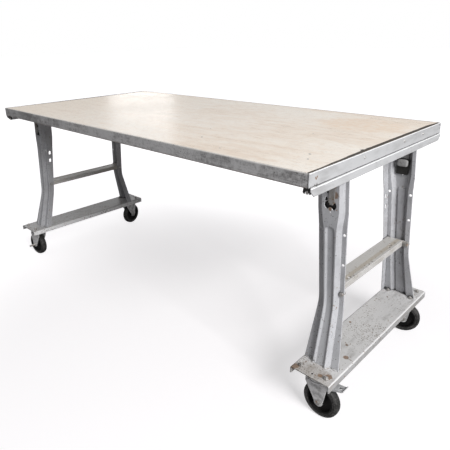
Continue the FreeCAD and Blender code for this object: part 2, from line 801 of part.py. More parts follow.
def top_bolt_tip_z():
    return shelf_top_z + 14.0


def top_bolt_pockets():
    """Pilot holes in the board for the bolts of the head brackets."""
    holes = []
    for side_x, side_y in CORNERS.values():
        start = Vector(strap_x, top_bolt_y, board_low_z)
        end = Vector(strap_x, top_bolt_y, top_bolt_tip_z() + slack)
        holes.append(on_frame(rod(m8_radius + 0.05, start, end), side_x, side_y))
    return holes


def make_top_bolts():
    """Bolts up through the bracket and the rail into the board."""
    bolts = []
    low = leg_top_z - bracket_thick
    for side_x, side_y in CORNERS.values():
        start = Vector(strap_x, top_bolt_y, low)
        end = Vector(strap_x, top_bolt_y, top_bolt_tip_z())
        bolt = rod(m8_radius, start, end).fuse(hexagon(m8_head, start - Vector(0, 0, m8_high), start))
        bolts.append(on_frame(bolt, side_x, side_y))
    return bolts


def make_long_band(side):
    """Front or back angle: it butts between the end bands."""
    x = length / 2 - band_thick
    face = box(-x, x, side * (depth / 2 - band_thick), side * depth / 2, band_low_z, height)
    shelf = box(-x, x, side * (depth / 2 - band_shelf), side * depth / 2, band_low_z, shelf_top_z)
    band = face.fuse(shelf).removeSplitter()
    holes = [rod(m8_radius + bore_slack, Vector(bx, by, band_low_z - 1), Vector(bx, by, shelf_top_z + 1))
             for bx, by in corner_bolt_places() if by * side > 0]
    return band.cut(holes)


def make_end_band(side):
    """End angle over the whole width, its shelf cut back to clear the long bands."""
    face = box(side * (length / 2 - band_thick), side * length / 2, -depth / 2, depth / 2, band_low_z, height)
    shelf_y = depth / 2 - band_shelf - slack
    shelf = box(side * (length / 2 - band_shelf), side * length / 2, -shelf_y, shelf_y, band_low_z, shelf_top_z)
    band = face.fuse(shelf).removeSplitter()
    holes = [rod(screw_radius + bore_slack, Vector(side * (length / 2 + 1), y, screw_z),
                 Vector(side * (length / 2 - band_thick - 1), y, screw_z)) for y in screw_places()]
    return band.cut(holes)


def make_end_rail(side):
    """Angle under the end band: its upright face shows, its flat flange lies over the leg heads."""
    y = rail_half_length
    x1 = rail_face_x
    outline = [(-y, rail_top_z), (y, rail_top_z), (y, rail_low_z + rail_cut), (y - rail_cut, rail_low_z),
               (rail_cut - y, rail_low_z), (-y, rail_low_z + rail_cut)]
    face = prism([Vector(side * (x1 - rail_thick), b, z) for b, z in outline], Vector(side * rail_thick, 0, 0))
    shelf = box(side * (x1 - rail_shelf), side * x1, -rail_shelf_half, rail_shelf_half,
                rail_top_z - rail_thick, rail_top_z)
    rail = face.fuse(shelf).removeSplitter()
    holes = []
    for side_y in (-1, 1):
        holes.append(on_frame(top_bolt_hole(m8_radius + bore_slack), side, side_y))
    return rail.cut(holes)


# ---- write the nodes ----
save("top_board", make_board())
save("top_sheet", make_sheet())
save("front_band", make_long_band(-1))
save("back_band", make_long_band(1))
save("band_screws", make_screws())
save("corner_bolts", make_corner_bolts())
save("corner_wing_nuts", make_wing_nuts())
save("top_bolts", make_top_bolts())

leg = make_leg()
bracket = make_bracket()
strap = make_strap()
crossbar = make_crossbar()
foot = make_foot()
strap_bolt = bolt_set(Vector(strap_x, face_outer_y + strap_thick, strap_bolt_z),
                      Vector(strap_x, face_inner_y - bracket_thick, strap_bolt_z), m8_high)
wing_y = wing_plane(bar_bolt_z)
ear_inner_y = wing_y - leg_gauge - slack - bar_gauge
ear_x = leg_centre(bar_bolt_z) + wing_hole_out(bar_bolt_z)
ear_bolt = bolt_set(Vector(ear_x, wing_y + slack, bar_bolt_z), Vector(ear_x, ear_inner_y, bar_bolt_z), m8_high)
flange_x = leg_centre(bar_bolt_z) - half_width(bar_bolt_z)
flange_bolt = bolt_set(Vector(flange_x - lean_slack / 2, flange_middle(bar_bolt_z), bar_bolt_z),
                       Vector(bar_inner_x() + bar_gauge, flange_middle(bar_bolt_z), bar_bolt_z), m8_high)

strap_bolts = []
bar_bolts = []
for corner, (side_x, side_y) in CORNERS.items():
    save("leg_" + corner, on_frame(leg, side_x, side_y))
    save("head_bracket_" + corner, on_frame(bracket, side_x, side_y))
    save("head_strap_" + corner, on_frame(strap, side_x, side_y))
    strap_bolts += [on_frame(piece, side_x, side_y) for piece in strap_bolt]
    bar_bolts += [on_frame(piece, side_x, side_y) for piece in ear_bolt + flange_bolt]
save("strap_bolts", strap_bolts)
save("crossbar_bolts", bar_bolts)

for side_name, side in SIDES.items():
    save(side_name + "_band", make_end_band(side))
    save(side_name + "_rail", make_end_rail(side))
    save(side_name + "_crossbar", on_frame(crossbar, side, 1))
    save(side_name + "_foot", on_frame(foot, side, 1))

plate = make_plate()
ring = make_ring()
kingpin = make_kingpin()
fork = make_fork()
hub = make_hub()
tyre = make_tyre()
mount_bolts = []
mount_nuts = []
kingpins = []
for corner, (side_x, side_y) in CORNERS.items():
    name = "castor_" + corner
    save(name + "_plate", place_plate(plate, corner))
    save(name + "_race_ring", place_plate(ring, corner))
    save(name + "_fork", place_castor(make_braked_fork(fork) if corner == "front_right" else fork, corner))
    save(name + "_wheel_centre", place_castor(hub, corner))
    save(name + "_tyre", place_castor(tyre, corner))
    spare = long_axle_spare if corner == "front_left" else axle_spare
    save(name + "_axle", [place_castor(piece, corner) for piece in make_axle(spare)])
    kingpins.append(place_plate(kingpin, corner))
    for x, y in castor_bolt_places():
        bolt, nut = bolt_set(Vector(x, y, plate_low_z), Vector(x, y, foot_top_z), m8_high)
        mount_bolts.append(on_frame(bolt, side_x, side_y))
        mount_nuts.append(on_frame(nut, side_x, side_y))
save("kingpins", kingpins)
save("castor_mount_bolts", mount_bolts)
save("castor_mount_nuts", mount_nuts)
save("brake_pedal", place_castor(make_pedal(), "front_right"))
save("brake_pedal_pin", place_castor(make_pedal_pin(), "front_right"))
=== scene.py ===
import json
import math

import bmesh
import bpy
import numpy as np
from mathutils import Matrix, Vector


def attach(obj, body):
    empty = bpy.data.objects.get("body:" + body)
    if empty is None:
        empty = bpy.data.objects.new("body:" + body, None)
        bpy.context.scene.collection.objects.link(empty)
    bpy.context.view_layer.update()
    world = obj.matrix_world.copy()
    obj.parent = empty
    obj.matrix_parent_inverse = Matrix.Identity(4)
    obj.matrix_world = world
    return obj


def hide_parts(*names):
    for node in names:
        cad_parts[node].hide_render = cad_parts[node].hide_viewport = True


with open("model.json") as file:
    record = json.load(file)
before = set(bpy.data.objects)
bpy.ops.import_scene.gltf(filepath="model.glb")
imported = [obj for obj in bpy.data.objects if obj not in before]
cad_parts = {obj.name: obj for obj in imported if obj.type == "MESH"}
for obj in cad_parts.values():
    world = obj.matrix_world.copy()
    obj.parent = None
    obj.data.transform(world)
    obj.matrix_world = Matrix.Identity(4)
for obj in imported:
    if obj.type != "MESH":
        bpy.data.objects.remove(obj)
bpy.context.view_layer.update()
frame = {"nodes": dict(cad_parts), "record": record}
nodes = frame["nodes"]
print("frame loaded:", len(nodes), "nodes")

cameraView = dict(
    place=(1.48941, -1.41060, 1.18138),  # metres
    turn=0.795498, tip=0.345517, lean=-0.0224758,  # radians
    focal=459.62, frameSide=450.0, axisAt=(200.0, 200.0),  # pixels
    sensor=36.0, near=0.01, far=60.0,  # millimetres, then metres
)


def addCamera(s):
    # Forward, right and up from the turn about Z, the tip below the horizon and the lean about the view line.
    ct, st, cp, sp = math.cos(s["turn"]), math.sin(s["turn"]), math.cos(s["tip"]), math.sin(s["tip"])
    forward = Vector((-st * cp, ct * cp, -sp))
    right = Vector((ct, st, 0.0))
    up = right.cross(forward)
    cl, sl = math.cos(s["lean"]), math.sin(s["lean"])
    right, up = right * cl + up * sl, up * cl - right * sl
    data = bpy.data.cameras.new("camera")
    data.sensor_width = s["sensor"]
    data.lens = s["sensor"] * s["focal"] / s["frameSide"]
    data.shift_x = (s["frameSide"] / 2 - s["axisAt"][0]) / s["frameSide"]
    data.shift_y = (s["axisAt"][1] - s["frameSide"] / 2) / s["frameSide"]
    data.clip_start, data.clip_end = s["near"], s["far"]
    camera = bpy.data.objects.new("camera", data)
    bpy.context.scene.collection.objects.link(camera)
    turnTo = Matrix((right, up, -forward)).transposed().to_4x4()
    camera.matrix_world = Matrix.Translation(s["place"]) @ turnTo
    bpy.context.scene.camera = camera


addCamera(cameraView)


def plug(tree, socket, value):
    if isinstance(value, bpy.types.NodeSocket):
        tree.links.new(value, socket)
    elif isinstance(value, (tuple, list)) and len(value) == 3 and socket.type == "RGBA":
        socket.default_value = (*value, 1.0)
    else:
        socket.default_value = value


def addNode(tree, kind, sockets=None, **settings):
    made = tree.nodes.new("ShaderNode" + kind)
    for key, value in settings.items():
        setattr(made, key, value)
    for key, value in (sockets or {}).items():
        plug(tree, made.inputs[key], value)
    return made


def maths(tree, operation, a, b=0.0, clamp=False):
    return addNode(tree, "Math", {0: a, 1: b}, operation=operation, use_clamp=clamp).outputs[0]


def mixed(tree, share, a, b):
    made = addNode(tree, "Mix", data_type="RGBA")
    plug(tree, made.inputs[0], share)
    plug(tree, made.inputs[6], a)
    plug(tree, made.inputs[7], b)
    return made.outputs[2]


def ramp(tree, value, low, high, toLow=0.0, toHigh=1.0):
    made = addNode(tree, "MapRange", {0: value, 1: low, 2: high, 3: toLow, 4: toHigh},
                   interpolation_type="SMOOTHSTEP")
    return made.outputs[0]


def noise(tree, vector, scale, detail, rough=0.55):
    made = addNode(tree, "TexNoise", {"Vector": vector, "Scale": scale, "Detail": detail, "Roughness": rough})
    return made.outputs[0]


def signedNoise(tree, vector, scale, detail, rough):
    return maths(tree, "SUBTRACT", noise(tree, vector, scale, detail, rough), 0.5)


def stretched(tree, vector, scale):
    return addNode(tree, "Mapping", {"Vector": vector, "Scale": scale}).outputs[0]


def distance(tree, a, b):
    return addNode(tree, "VectorMath", {0: a, 1: b}, operation="DISTANCE").outputs["Value"]


def partOf(tree, vector, axis):
    return addNode(tree, "SeparateXYZ", {0: vector}).outputs["XYZ".index(axis)]


def lessGloss(shader, level):
    # Scales the clear reflection; 0.5 leaves it as it is.
    shader.inputs["Specular IOR Level"].default_value = level


def bumped(tree, shader, height, strength, depth, **normal):
    relief = addNode(tree, "Bump", {"Strength": strength, "Distance": depth, "Height": height, **normal})
    plug(tree, shader.inputs["Normal"], relief.outputs[0])


def newGroup(name, inputs, outputs):
    tree = bpy.data.node_groups.new(name, "ShaderNodeTree")
    for label, kind, value in inputs:
        socket = tree.interface.new_socket(name=label, in_out="INPUT", socket_type="NodeSocket" + kind)
        if value is not None:
            socket.default_value = value
    for label, kind in outputs:
        tree.interface.new_socket(name=label, in_out="OUTPUT", socket_type="NodeSocket" + kind)
    return tree, tree.nodes.new("NodeGroupInput").outputs, tree.nodes.new("NodeGroupOutput").inputs


def useGroup(tree, group, sockets):
    made = tree.nodes.new("ShaderNodeGroup")
    made.node_tree = group
    for key, value in sockets.items():
        plug(tree, made.inputs[key], value)
    return made.outputs


# In the settings below a range is (from, to), or (from, to, result at from, result at to), and a noise is (scale,
# detail, roughness), or (detail, roughness) where the scale comes from outside.
speckleLook = dict(fine=(2.0, 0.5), slow=(3.0, 0.6), level=0.80, slowRange=(0.30, 0.72, 0.35, 1.0),
                   spotRange=(0.0, 0.035))


def makeSpeckles(s):
    # Small spots where fine noise passes a level; the level drops, so spots gather, where slower noise is high.
    tree, given, put = newGroup("speckles", [("Vector", "Vector", None), ("Scale", "Float", 200.0),
                                             ("Cover", "Float", 0.3), ("Gather", "Float", 8.0)], [("Mask", "Float")])
    fine = noise(tree, given["Vector"], given["Scale"], *s["fine"])
    slow = noise(tree, given["Vector"], given["Gather"], *s["slow"])
    drop = maths(tree, "MULTIPLY", given["Cover"], ramp(tree, slow, *s["slowRange"]))
    over = maths(tree, "SUBTRACT", fine, maths(tree, "SUBTRACT", s["level"], drop))
    tree.links.new(ramp(tree, over, *s["spotRange"]), put["Mask"])
    return tree


def makeStreaks(fine):
    # Long thin marks: noise squeezed across the grain and stretched along it, both ways from zero.
    tree, given, put = newGroup("streaks", [("Vector", "Vector", None), ("Stretch", "Vector", (1.0, 30.0, 30.0)),
                                            ("Scale", "Float", 4.0)], [("Value", "Float")])
    drawn = stretched(tree, given["Vector"], given["Stretch"])
    tree.links.new(signedNoise(tree, drawn, given["Scale"], *fine), put["Value"])
    return tree


blotchLook = dict(big=(4.0, 0.6), small=(5.0, 0.65), smaller=6.0, bigShare=0.65, smallShare=0.35)


def makeBlotches(s):
    # Slow colour change over the surface, both ways from zero, from two noises of different size.
    tree, given, put = newGroup("blotches", [("Vector", "Vector", None), ("Scale", "Float", 3.0)],
                                [("Value", "Float")])
    big = noise(tree, given["Vector"], given["Scale"], *s["big"])
    small = noise(tree, given["Vector"], maths(tree, "MULTIPLY", given["Scale"], s["smaller"]), *s["small"])
    both = maths(tree, "ADD", maths(tree, "MULTIPLY", big, s["bigShare"]),
                 maths(tree, "MULTIPLY", small, s["smallShare"]))
    tree.links.new(maths(tree, "SUBTRACT", both, 0.5), put["Value"])
    return tree


edgeLook = dict(samples=6, turnRange=(0.01, 0.16), breaks=(60.0, 5.0, 0.7), breakRange=(0.35, 0.65))


def makeEdges(s):
    # Where the rounded normal leaves the flat one there is an edge; noise breaks the mask up.
    tree, given, put = newGroup("edges", [("Vector", "Vector", None), ("Radius", "Float", 0.002),
                                          ("Broken", "Float", 0.5)], [("Mask", "Float"), ("Normal", "Vector")])
    rounded = addNode(tree, "Bevel", {"Radius": given["Radius"]}, samples=s["samples"]).outputs[0]
    plain = addNode(tree, "NewGeometry").outputs["Normal"]
    same = addNode(tree, "VectorMath", {0: rounded, 1: plain}, operation="DOT_PRODUCT").outputs["Value"]
    edge = ramp(tree, maths(tree, "SUBTRACT", 1.0, same), *s["turnRange"])
    patchy = ramp(tree, noise(tree, given["Vector"], *s["breaks"]), *s["breakRange"])
    keep = maths(tree, "SUBTRACT", 1.0, maths(tree, "MULTIPLY", given["Broken"], patchy))
    tree.links.new(maths(tree, "MULTIPLY", edge, keep), put["Mask"])
    tree.links.new(rounded, put["Normal"])
    return tree


creviceDirtShadeLook = dict(samples=8, breaks=(45.0, 4.0, 0.65), breakGain=0.35, closedRange=(0.72, 0.30))


def makeCreviceDirtShade(s):
    # Dirt and painted shade where nearby surfaces close in, from ambient occlusion, uneven along the joint.
    tree, given, put = newGroup("creviceDirtShade", [("Vector", "Vector", None), ("Reach", "Float", 0.012)],
                                [("Mask", "Float")])
    closed = addNode(tree, "AmbientOcclusion", {"Distance": given["Reach"]}, samples=s["samples"]).outputs["AO"]
    uneven = maths(tree, "MULTIPLY", signedNoise(tree, given["Vector"], *s["breaks"]), s["breakGain"])
    tree.links.new(ramp(tree, maths(tree, "ADD", closed, uneven), *s["closedRange"]), put["Mask"])
    return tree


stripeLook = dict(breaks=(70.0, 5.0, 0.7), breakGain=1.3, nearRange=(1.1, 0.7))


def makeStripe(s):
    # A worn line along an edge: how near one coordinate lies to the edge's own, broken up by noise.
    tree, given, put = newGroup("stripe", [("Vector", "Vector", None), ("Value", "Float", 0.0), ("At", "Float", 0.0),
                                           ("Half", "Float", 0.002)], [("Mask", "Float")])
    off = maths(tree, "ABSOLUTE", maths(tree, "SUBTRACT", given["Value"], given["At"]))
    shaky = maths(tree, "MULTIPLY", signedNoise(tree, given["Vector"], *s["breaks"]), s["breakGain"])
    near = maths(tree, "ADD", maths(tree, "DIVIDE", off, given["Half"]), shaky)
    tree.links.new(ramp(tree, near, *s["nearRange"]), put["Mask"])
    return tree


spotLook = dict(breaks=(180.0, 4.0, 0.7), insideRange=(1.0, 0.65))


def makeSpot(s):
    # One ragged mark: distance from its centre over its radius, moved by noise.
    tree, given, put = newGroup("spot", [("Vector", "Vector", None), ("Centre", "Vector", (0.0, 0.0, 0.0)),
                                         ("Radius", "Float", 0.01), ("Ragged", "Float", 0.8)], [("Mask", "Float")])
    away = distance(tree, given["Vector"], given["Centre"])
    share = maths(tree, "DIVIDE", away, given["Radius"])
    torn = maths(tree, "MULTIPLY", signedNoise(tree, given["Vector"], *s["breaks"]), given["Ragged"])
    tree.links.new(ramp(tree, maths(tree, "ADD", share, torn), *s["insideRange"]), put["Mask"])
    return tree


speckles, streaks, blotches = makeSpeckles(speckleLook), makeStreaks((6.0, 0.65)), makeBlotches(blotchLook)
edges, creviceDirtShade = makeEdges(edgeLook), makeCreviceDirtShade(creviceDirtShadeLook)
stripe, spot = makeStripe(stripeLook), makeSpot(spotLook)


def newMaterial(name, **sockets):
    material = bpy.data.materials.new(name)
    material.use_nodes = True
    tree = material.node_tree
    tree.nodes.clear()
    shader = addNode(tree, "BsdfPrincipled", sockets)
    tree.links.new(shader.outputs[0], addNode(tree, "OutputMaterial").inputs[0])
    where = addNode(tree, "TexCoord").outputs["Object"]
    return material, tree, shader, where


def spotsOn(tree, where, marks):
    # The strongest of several marks, each (centre, radius).
    mask = None
    for centre, radius in marks:
        one = useGroup(tree, spot, {"Vector": where, "Centre": centre, "Radius": radius})["Mask"]
        mask = one if mask is None else maths(tree, "MAXIMUM", mask, one)
    return mask


# Lengths and places are in metres. edge is the worn rim's radius, specks and rust say how much is covered, and
# streaky how strongly the drawn streaks show. Marks are (centre, radius). highlightAndWearLines and shadeLines are
# (axis, place, half the width), with X counted from the middle to either end, as in tanBand: the first are pale
# lines of painted highlight along bright edges, partly worn paint, the second dark lines of painted shade where
# parts meet. settled is the dust on faces that look up, cleanFrom how much of that colour is kept along the
# table, less towards the left end, stain one dull patch, inwardShade the painted shade on faces turned to the
# table's middle. A bump is (strength, depth).
paints = dict(
    legPaint=dict(inwardShade=0.22, colour=(0.46, 0.465, 0.485), dark=(0.33, 0.33, 0.345), soil=(0.06, 0.055, 0.05),
                  rough=0.42, metal=0.08, edge=0.0024, edgeGain=1.15, grain=(16.0, 16.0, 1.0), streaky=0.35,
                  specks=0.19, rust=0.13,
                  inkMarks=[((0.8400, -0.2520, 0.7180), 0.007), ((0.870, -0.2410, 0.6120), 0.003)],
                  rustMarks=[((0.852, -0.260, 0.760), 0.020), ((0.867, -0.255, 0.735), 0.014),
                             ((0.8545, -0.2520, 0.6885), 0.007)]),
    footPaint=dict(colour=(0.37, 0.37, 0.375), dark=(0.26, 0.25, 0.24), rough=0.46, metal=0.05, edge=0.0022,
                   settled=(0.60, 0.595, 0.595), cleanFrom=(-0.3, 0.3, 0.3, 1.0),
                   stain=dict(centre=(0.893, -0.372, 0.176), radius=0.085, colour=(0.27, 0.235, 0.20), ragged=1.2,
                              range=(-0.12, 0.10, 0.7, 0.35)),
                   grain=(7.0, 1.5, 7.0), specks=0.235, rust=0.17, edgeGain=0.9, soil=(0.13, 0.10, 0.075),
                   highlightAndWearLines=[("X", 0.9608, 0.0014), ("X", 0.8222, 0.0014)],
                   inkMarks=[((0.829, -0.371, 0.172), 0.007)],
                   rustMarks=[((0.9315, -0.2106, 0.176), 0.011), ((0.834, -0.358, 0.176), 0.015),
                              ((0.938, -0.331, 0.176), 0.014), ((0.916, -0.343, 0.176), 0.009),
                              ((0.902, -0.150, 0.176), 0.006), ((0.845, -0.021, 0.176), 0.006)]),
    barPaint=dict(colour=(0.50, 0.49, 0.48), dark=(0.35, 0.33, 0.30), rough=0.46, metal=0.05, edge=0.0022,
                  grain=(7.0, 1.5, 7.0), specks=0.2, rust=0.15, edgeGain=0.9, soil=(0.12, 0.09, 0.07),
                  tanBand=(0.878, 0.008), settled=(0.52, 0.51, 0.495),
                  inkMarks=[((0.887, -0.142, 0.429), 0.0042), ((0.888, -0.125, 0.429), 0.0035),
                            ((0.885, -0.160, 0.429), 0.0035), ((0.888, 0.007, 0.429), 0.0042),
                            ((0.889, -0.018, 0.429), 0.0045), ((0.881, 0.204, 0.429), 0.0045)]),
    railPaint=dict(colour=(0.47, 0.475, 0.485), dark=(0.35, 0.35, 0.355), rough=0.40, metal=0.05, edge=0.0022,
                   grain=(6.0, 1.2, 6.0), specks=0.12, rust=0.08, edgeGain=1.0, soil=(0.06, 0.055, 0.05),
                   highlightAndWearLines=[("Z", 0.8100, 0.0028)]),
    endBandPaint=dict(colour=(0.46, 0.465, 0.475), dark=(0.35, 0.35, 0.355), rough=0.40, metal=0.05, edge=0.0022,
                      grain=(6.0, 1.2, 6.0), specks=0.10, rust=0.07, edgeGain=1.0, soil=(0.06, 0.055, 0.05),
                      highlightAndWearLines=[("Z", 0.8500, 0.0022)], shadeLines=[("Z", 0.8098, 0.0030)],
                      inkMarks=[((0.900, -0.423, 0.8125), 0.004), ((0.900, -0.412, 0.8135), 0.004),
                                ((0.900, 0.436, 0.8440), 0.004), ((0.900, 0.440, 0.8300), 0.004)],
                      rustMarks=[((0.900, -0.417, 0.8300), 0.004), ((0.900, -0.4205, 0.8335), 0.0035),
                                 ((0.900, -0.4125, 0.8345), 0.0035)]),
    castorZinc=dict(colour=(0.66, 0.655, 0.66), dark=(0.28, 0.28, 0.28), rough=0.40, metal=0.2, edge=0.0018,
                    grain=(8.0, 8.0, 8.0), specks=0.14, rust=0.12, edgeGain=0.8, soil=(0.06, 0.05, 0.045)),
    strapGrey=dict(colour=(0.27, 0.265, 0.26), dark=(0.17, 0.15, 0.13), rough=0.55, metal=0.08, edge=0.0015,
                   grain=(8.0, 8.0, 3.0), specks=0.2, rust=0.30, edgeGain=0.6, soil=(0.05, 0.04, 0.03),
                   rustMarks=[((0.872, -0.262, 0.772), 0.020), ((0.866, -0.262, 0.790), 0.016)]),
    boltZinc=dict(colour=(0.48, 0.47, 0.46), dark=(0.22, 0.20, 0.18), rough=0.36, metal=0.6, edge=0.0009,
                  grain=(40.0, 40.0, 40.0), specks=0.2, rust=0.24, edgeGain=0.6, soil=(0.05, 0.04, 0.03)),
    latchGrey=dict(colour=(0.30, 0.30, 0.30), dark=(0.17, 0.16, 0.16), rough=0.5, metal=0.1, edge=0.002,
                   grain=(12.0, 12.0, 12.0), specks=0.2, rust=0.12, edgeGain=0.5, soil=(0.04, 0.035, 0.03)),
    blackSteel=dict(colour=(0.020, 0.019, 0.018), dark=(0.010, 0.010, 0.009), rough=0.6, metal=0.0, edge=0.001,
                    grain=(20.0, 20.0, 20.0), specks=0.2, rust=0.10, edgeGain=0.3, soil=(0.01, 0.01, 0.01)),
)

allSteel = dict(  # what every paint shares, where its own settings say nothing else
    streaky=0.9, gloss=0.35, cloudSize=4.5, cloudGain=1.3, streakSize=9.0, broken=0.6, jointReach=0.012,
    soilSpots=dict(Scale=200.0, Gather=9.0), soilShare=0.8, rustSpots=dict(Scale=110.0, Gather=14.0), rustShare=0.85,
    darkRange=(0.10, -0.24, 0.0, 0.9), upRange=(0.35, 0.9), dustRange=(-0.30, 0.02, 0.45, 1.0),
    inwardShadeRange=(-0.25, -0.8), tan=(0.36, 0.30, 0.22), tanShare=0.55, jointShare=0.9, jointDark=0.12,
    paleGain=1.45, paleMore=0.12, paleMost=0.82, flakes=(400.0, 3.0), flakeRange=(0.35, 0.65), bareRange=(0.0, 0.8),
    rustDeep=(0.09, 0.05, 0.03), rustPale=(0.27, 0.17, 0.10), roughByCloud=0.35, roughByDirt=0.35,
    pits=(260.0, 5.0, 0.7), pitHeight=0.35, cloudHeight=1.6, rustHeight=0.5, bump=(0.35, 0.0012),
)


def linesOn(tree, where, lines):
    # The strongest of several edge lines.
    mask = None
    for axis, at, half in lines:
        value = partOf(tree, where, axis)
        if axis == "X":
            value = maths(tree, "ABSOLUTE", value)
        one = useGroup(tree, stripe, {"Vector": where, "Value": value, "At": at, "Half": half})["Mask"]
        mask = one if mask is None else maths(tree, "MAXIMUM", mask, one)
    return mask


def paintedSteel(name, s):
    # Paint with slow blotches and drawn streaks, worn pale edges, pale lines of painted highlight that are partly
    # worn paint, dirt and painted shade in the joints, dark specks and rust.
    material, tree, shader, where = newMaterial(name, Metallic=s["metal"], Roughness=s["rough"])
    lessGloss(shader, s["gloss"])
    cloud = useGroup(tree, blotches, {"Vector": where, "Scale": s["cloudSize"]})["Value"]
    line = useGroup(tree, streaks, {"Vector": where, "Stretch": s["grain"], "Scale": s["streakSize"]})["Value"]
    worn = useGroup(tree, edges, {"Vector": where, "Radius": s["edge"], "Broken": s["broken"]})
    soil = useGroup(tree, speckles, {"Vector": where, "Cover": s["specks"], **s["soilSpots"]})["Mask"]
    rust = useGroup(tree, speckles, {"Vector": where, "Cover": s["rust"], **s["rustSpots"]})["Mask"]
    # Dirt and painted shade where surfaces close in.
    dirtAndShadeInJoints = useGroup(tree, creviceDirtShade, {"Vector": where, "Reach": s["jointReach"]})["Mask"]
    if "rustMarks" in s:
        rust = maths(tree, "MAXIMUM", rust, spotsOn(tree, where, s["rustMarks"]))
    if "inkMarks" in s:
        soil = maths(tree, "MAXIMUM", soil, spotsOn(tree, where, s["inkMarks"]))
    drawn = maths(tree, "MULTIPLY", line, s["streaky"])
    tone = maths(tree, "ADD", maths(tree, "MULTIPLY", cloud, s["cloudGain"]), drawn)
    colour = mixed(tree, ramp(tree, tone, *s["darkRange"]), s["colour"], s["dark"])
    if "settled" in s:
        upward = partOf(tree, addNode(tree, "NewGeometry").outputs["Normal"], "Z")
        dusty = maths(tree, "MULTIPLY", ramp(tree, upward, *s["upRange"]), ramp(tree, tone, *s["dustRange"]))
        # Less of that pale top colour is kept towards the left end, which comes out darker.
        if "cleanFrom" in s:
            dusty = maths(tree, "MULTIPLY", dusty, ramp(tree, partOf(tree, where, "X"), *s["cleanFrom"]))
        colour = mixed(tree, dusty, colour, s["settled"])
    if "stain" in s:
        stain = s["stain"]
        wet = useGroup(tree, spot, {"Vector": where, "Centre": stain["centre"], "Radius": stain["radius"],
                                    "Ragged": stain["ragged"]})["Mask"]
        wet = maths(tree, "MULTIPLY", wet, ramp(tree, line, *stain["range"]))
        colour = mixed(tree, wet, colour, stain["colour"])
    # Painted shade: faces turned to the table's middle are darkened with the soil colour.
    if "inwardShade" in s:
        facing = partOf(tree, addNode(tree, "NewGeometry").outputs["Normal"], "X")
        half = maths(tree, "SIGN", partOf(tree, where, "X"))
        inwardShadeMask = ramp(tree, maths(tree, "MULTIPLY", facing, half), *s["inwardShadeRange"])
        colour = mixed(tree, maths(tree, "MULTIPLY", inwardShadeMask, s["inwardShade"]), colour, s["soil"])
    if "tanBand" in s:
        rubbed = linesOn(tree, where, [("X", *s["tanBand"])])
        colour = mixed(tree, maths(tree, "MULTIPLY", rubbed, s["tanShare"]), colour, s["tan"])
    pale = maths(tree, "MULTIPLY", worn["Mask"], s["edgeGain"], clamp=True)
    # Pale lines along bright edges: painted highlight, partly worn paint.
    if "highlightAndWearLines" in s:
        pale = maths(tree, "MAXIMUM", pale, linesOn(tree, where, s["highlightAndWearLines"]))
    # Dark lines of painted shade where parts meet, such as under the end band's lower edge.
    if "shadeLines" in s:
        dirtAndShadeInJoints = maths(tree, "MAXIMUM", dirtAndShadeInJoints, linesOn(tree, where, s["shadeLines"]))
    bright = tuple(min(s["paleMost"], c * s["paleGain"] + s["paleMore"]) for c in s["colour"])
    colour = mixed(tree, pale, colour, bright)
    closed = tuple(c * s["jointDark"] for c in s["dark"])
    colour = mixed(tree, maths(tree, "MULTIPLY", dirtAndShadeInJoints, s["jointShare"]), colour, closed)
    colour = mixed(tree, maths(tree, "MULTIPLY", soil, s["soilShare"]), colour, s["soil"])
    flakes = ramp(tree, noise(tree, where, *s["flakes"]), *s["flakeRange"])
    rustColour = mixed(tree, flakes, s["rustDeep"], s["rustPale"])
    colour = mixed(tree, maths(tree, "MULTIPLY", rust, s["rustShare"]), colour, rustColour)
    plug(tree, shader.inputs["Base Color"], colour)
    plug(tree, shader.inputs["Metallic"], ramp(tree, rust, *s["bareRange"], s["metal"], 0.0))
    uneven = maths(tree, "ADD", maths(tree, "MULTIPLY", cloud, s["roughByCloud"]), s["rough"])
    dull = maths(tree, "MULTIPLY", maths(tree, "MAXIMUM", rust, dirtAndShadeInJoints), s["roughByDirt"])
    plug(tree, shader.inputs["Roughness"], maths(tree, "ADD", uneven, dull, clamp=True))
    pits = maths(tree, "MULTIPLY", noise(tree, where, *s["pits"]), s["pitHeight"])
    waves = maths(tree, "SUBTRACT", maths(tree, "MULTIPLY", cloud, s["cloudHeight"]),
                  maths(tree, "MULTIPLY", rust, s["rustHeight"]))
    bumped(tree, shader, maths(tree, "ADD", pits, waves), *s["bump"], Normal=worn["Normal"])
    return material


